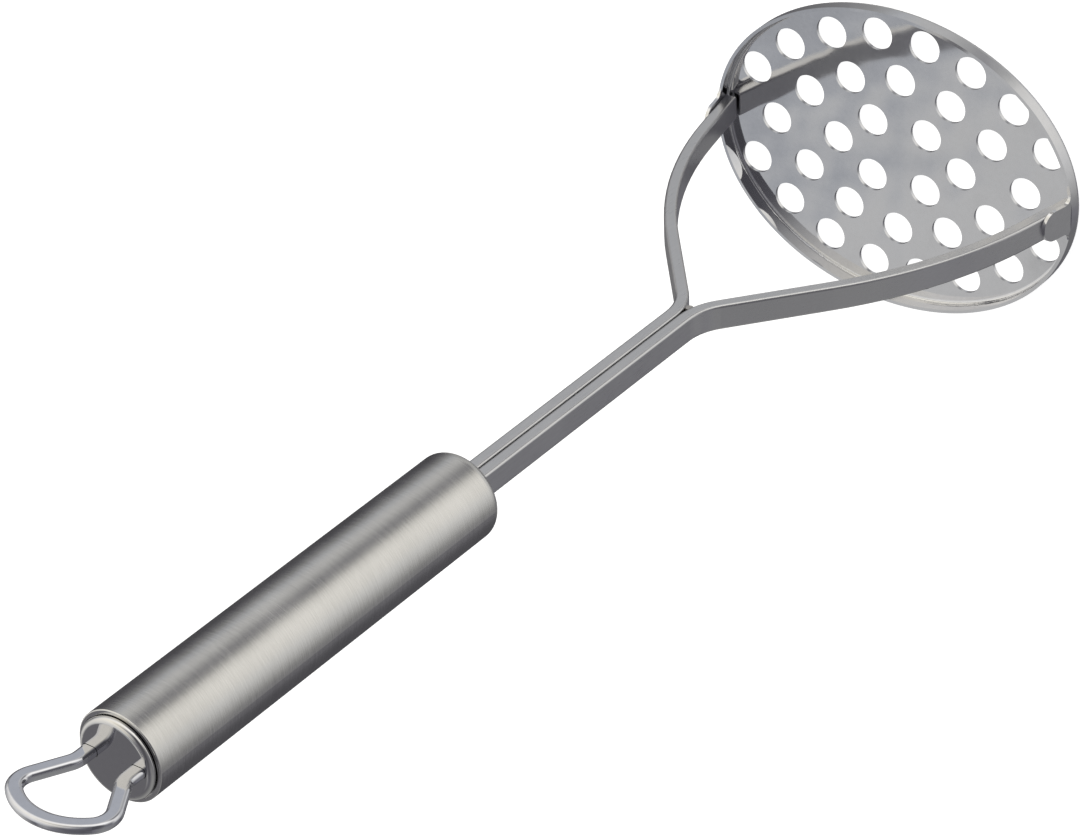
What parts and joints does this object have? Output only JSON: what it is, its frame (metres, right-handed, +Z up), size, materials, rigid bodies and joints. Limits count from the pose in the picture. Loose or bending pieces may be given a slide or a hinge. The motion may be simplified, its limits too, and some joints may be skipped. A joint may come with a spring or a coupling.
{
  "type": "potato masher",
  "caption": "Stainless steel potato masher: perforated oval plate with raised rim, two-bar fork welded in its ears, round hollow handle with end cap and wire hanging loop.",
  "frame": {"origin": "centre of the mashing plate's flat underside, the face it rests on", "axes": "+Z up the shank and handle to the hanging loop, +X along the plate's long side, towards the right-hand fork bar's foot, +Y across the plate's short side"},
  "size_m": [0.0952, 0.0748, 0.2984],
  "materials": {
    "plate": "polished",
    "bar": "satin",
    "handle": "brushed around the tube",
    "handle_inside": "mill",
    "cap": "mirror polished",
    "loop": "polished",
    "weld": "as welded, brushed clean"
  },
  "bodies": {
    "root": {"mashing_plate": "plate", "fork_bar_left": "bar", "fork_bar_right": "bar", "fork_crotch_weld": "weld", "handle_tube": "handle", "handle_front_disc": "handle_inside", "shank_weld": "weld", "handle_end_cap": "cap", "hanging_loop": "loop", "loop_weld_left": "weld", "loop_weld_right": "weld"}
  },
  "joints": []
}
